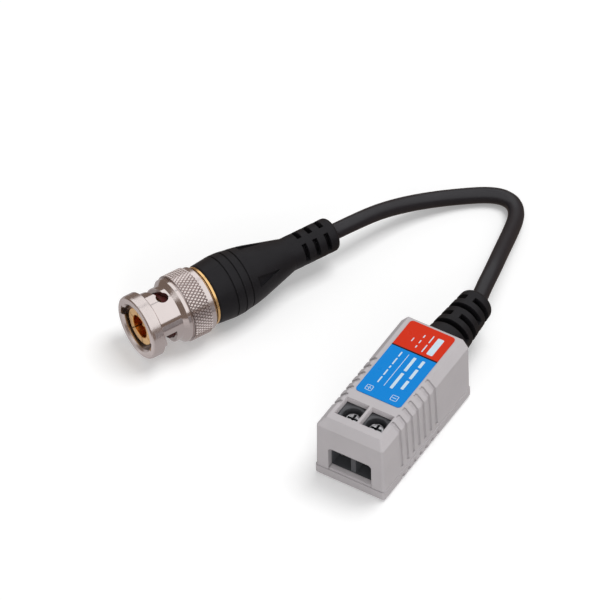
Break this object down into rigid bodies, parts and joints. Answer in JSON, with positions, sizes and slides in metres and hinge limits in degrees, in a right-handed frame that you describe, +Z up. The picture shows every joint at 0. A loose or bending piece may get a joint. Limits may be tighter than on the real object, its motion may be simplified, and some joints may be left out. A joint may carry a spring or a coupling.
{
  "type": "cctv video balun",
  "caption": "Passive video balun: a small housing with grooved sides and a two-pole screw terminal, a short black lead with strain reliefs and a moulded bayonet plug with a knurled nut.",
  "frame": {"origin": "centre of the housing's underside, on the surface it stands on", "axes": "+Y along the housing towards the lead, so the wire entry faces -Y; +Z up through the label and the screw windows; +X to the right seen from the wire entry"},
  "size_m": [0.0701, 0.0854, 0.0158],
  "materials": {
    "housing_plastic": "light warm grey ABS, fine satin",
    "label_film": "printed film, red and blue fields",
    "board_laminate": "green solder mask on laminate",
    "ferrite": "dark sintered ferrite",
    "winding_enamel": "enamelled copper wire",
    "component_black": "black component body",
    "ceramic_tan": "tan ceramic",
    "terminal_grey": "dark grey moulded polyamide",
    "tinned_brass": "tinned brass",
    "nickel_plate": "bright nickel on steel",
    "lead_white": "white core insulation",
    "moulding_black": "soft black PVC moulding",
    "cable_black": "satin black PVC sheath",
    "nickel_bright": "polished nickel on cast zinc",
    "gold_plate": "gold flash on brass",
    "insulator_plastic": "natural white insulator",
    "gasket_red": "dark red silicone",
    "spring_steel": "spring steel"
  },
  "bodies": {
    "balun": {"housing_shell": "housing_plastic", "housing_base": "housing_plastic", "label": "label_film", "circuit_board": "board_laminate", "transformer_core": "ferrite", "transformer_winding": "winding_enamel", "surge_suppressor": "component_black", "chip_capacitor": "ceramic_tan", "chip_resistor": "component_black", "terminal_block": "terminal_grey", "terminal_pin_left": "tinned_brass", "terminal_pin_right": "tinned_brass", "signal_lead": "lead_white", "screen_lead": "tinned_brass", "cable_relief": "moulding_black", "cable": "cable_black", "connector_boot": "moulding_black", "contact_sleeve": "gold_plate", "centre_pin": "gold_plate", "insulator": "insulator_plastic", "gasket": "gasket_red", "spring_washer": "spring_steel", "crimp_ferrule": "nickel_plate"},
    "nut_washer": {"thrust_washer": "spring_steel"},
    "nut": {"coupling_nut": "nickel_bright"},
    "screw_left": {"terminal_screw_left": "nickel_plate"},
    "screw_right": {"terminal_screw_right": "nickel_plate"},
    "cage_left": {"clamp_cage_left": "nickel_plate"},
    "cage_right": {"clamp_cage_right": "nickel_plate"}
  },
  "joints": [
    {"name": "nut_pull", "type": "slide", "parent": "balun", "child": "nut_washer", "axis": [-0.4248, -0.9053, 0], "range_m": [0, 0.0008], "stiffness_N_per_m": 3000, "springref_m": -0.001, "deforming": ["spring_washer"]},
    {"name": "nut_turn", "type": "hinge", "parent": "nut_washer", "child": "nut", "pos_m": [-0.05173, 0.00184, 0.00725], "axis": [-0.4248, -0.9053, 0], "continuous": true},
    {"name": "screw_left_turn", "type": "hinge", "parent": "balun", "child": "screw_left", "pos_m": [-0.0027, -0.0109, 0.0114], "axis": [0, 0, -1], "range_deg": [0, 1802]},
    {"name": "cage_left_lift", "type": "slide", "parent": "balun", "child": "cage_left", "axis": [0, 0, 1], "range_m": [0, 0.00225]},
    {"name": "screw_right_turn", "type": "hinge", "parent": "balun", "child": "screw_right", "pos_m": [0.0027, -0.0109, 0.0114], "axis": [0, 0, -1], "range_deg": [0, 1802]},
    {"name": "cage_right_lift", "type": "slide", "parent": "balun", "child": "cage_right", "axis": [0, 0, 1], "range_m": [0, 0.00225]}
  ],
  "couplings": [
    {"joint": "screw_left_turn", "follows": "cage_left_lift", "rad_per_m": 13963},
    {"joint": "screw_right_turn", "follows": "cage_right_lift", "rad_per_m": 13963}
  ]
}
